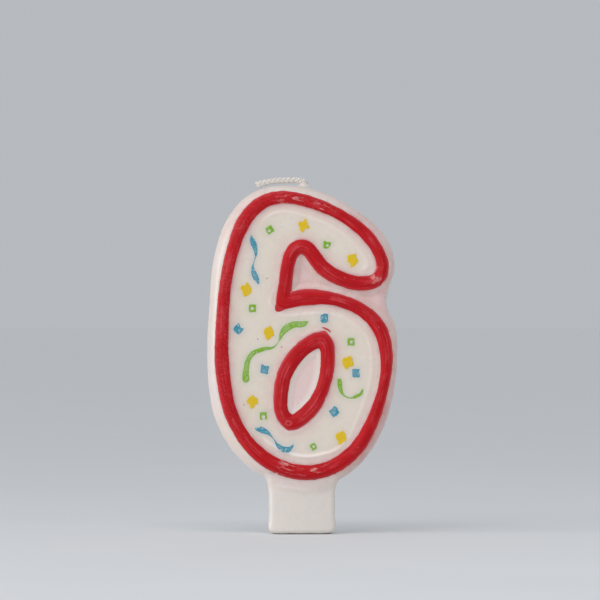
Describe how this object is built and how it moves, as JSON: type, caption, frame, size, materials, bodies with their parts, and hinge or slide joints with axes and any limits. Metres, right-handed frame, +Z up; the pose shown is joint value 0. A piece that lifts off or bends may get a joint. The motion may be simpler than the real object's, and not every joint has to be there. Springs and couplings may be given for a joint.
{
  "type": "number birthday candle",
  "caption": "Moulded wax candle in the shape of a numeral six, with raised red outlines, printed confetti, a folded wick and a flat stem that pushes into a cake.",
  "frame": {"origin": "middle of the flat foot of the stem, in the plane of the wick", "axes": "+X to the right of someone reading the numeral, +Y from the decorated face to the flat back, +Z up along the stem towards the wick"},
  "size_m": [0.0418, 0.0102, 0.078],
  "materials": {
    "wax": "satin",
    "red_wax": "satin",
    "wick": "matte",
    "yellow_ink": "satin",
    "green_ink": "satin",
    "blue_ink": "satin"
  },
  "bodies": {
    "root": {"wax_body": "wax", "wick": "wick", "outline_bead": "red_wax", "counter_bead": "red_wax", "yellow_square_1": "yellow_ink", "yellow_square_2": "yellow_ink", "yellow_square_3": "yellow_ink", "yellow_square_4": "yellow_ink", "yellow_square_5": "yellow_ink", "yellow_square_6": "yellow_ink", "yellow_square_7": "yellow_ink", "green_square_1": "green_ink", "green_square_2": "green_ink", "green_square_3": "green_ink", "green_square_4": "green_ink", "green_square_5": "green_ink", "green_square_6": "green_ink", "blue_square_1": "blue_ink", "blue_square_2": "blue_ink", "blue_square_3": "blue_ink", "blue_square_4": "blue_ink", "blue_square_5": "blue_ink", "green_streamer_1": "green_ink", "green_streamer_2": "green_ink", "blue_streamer_1": "blue_ink", "blue_streamer_2": "blue_ink"}
  },
  "joints": []
}
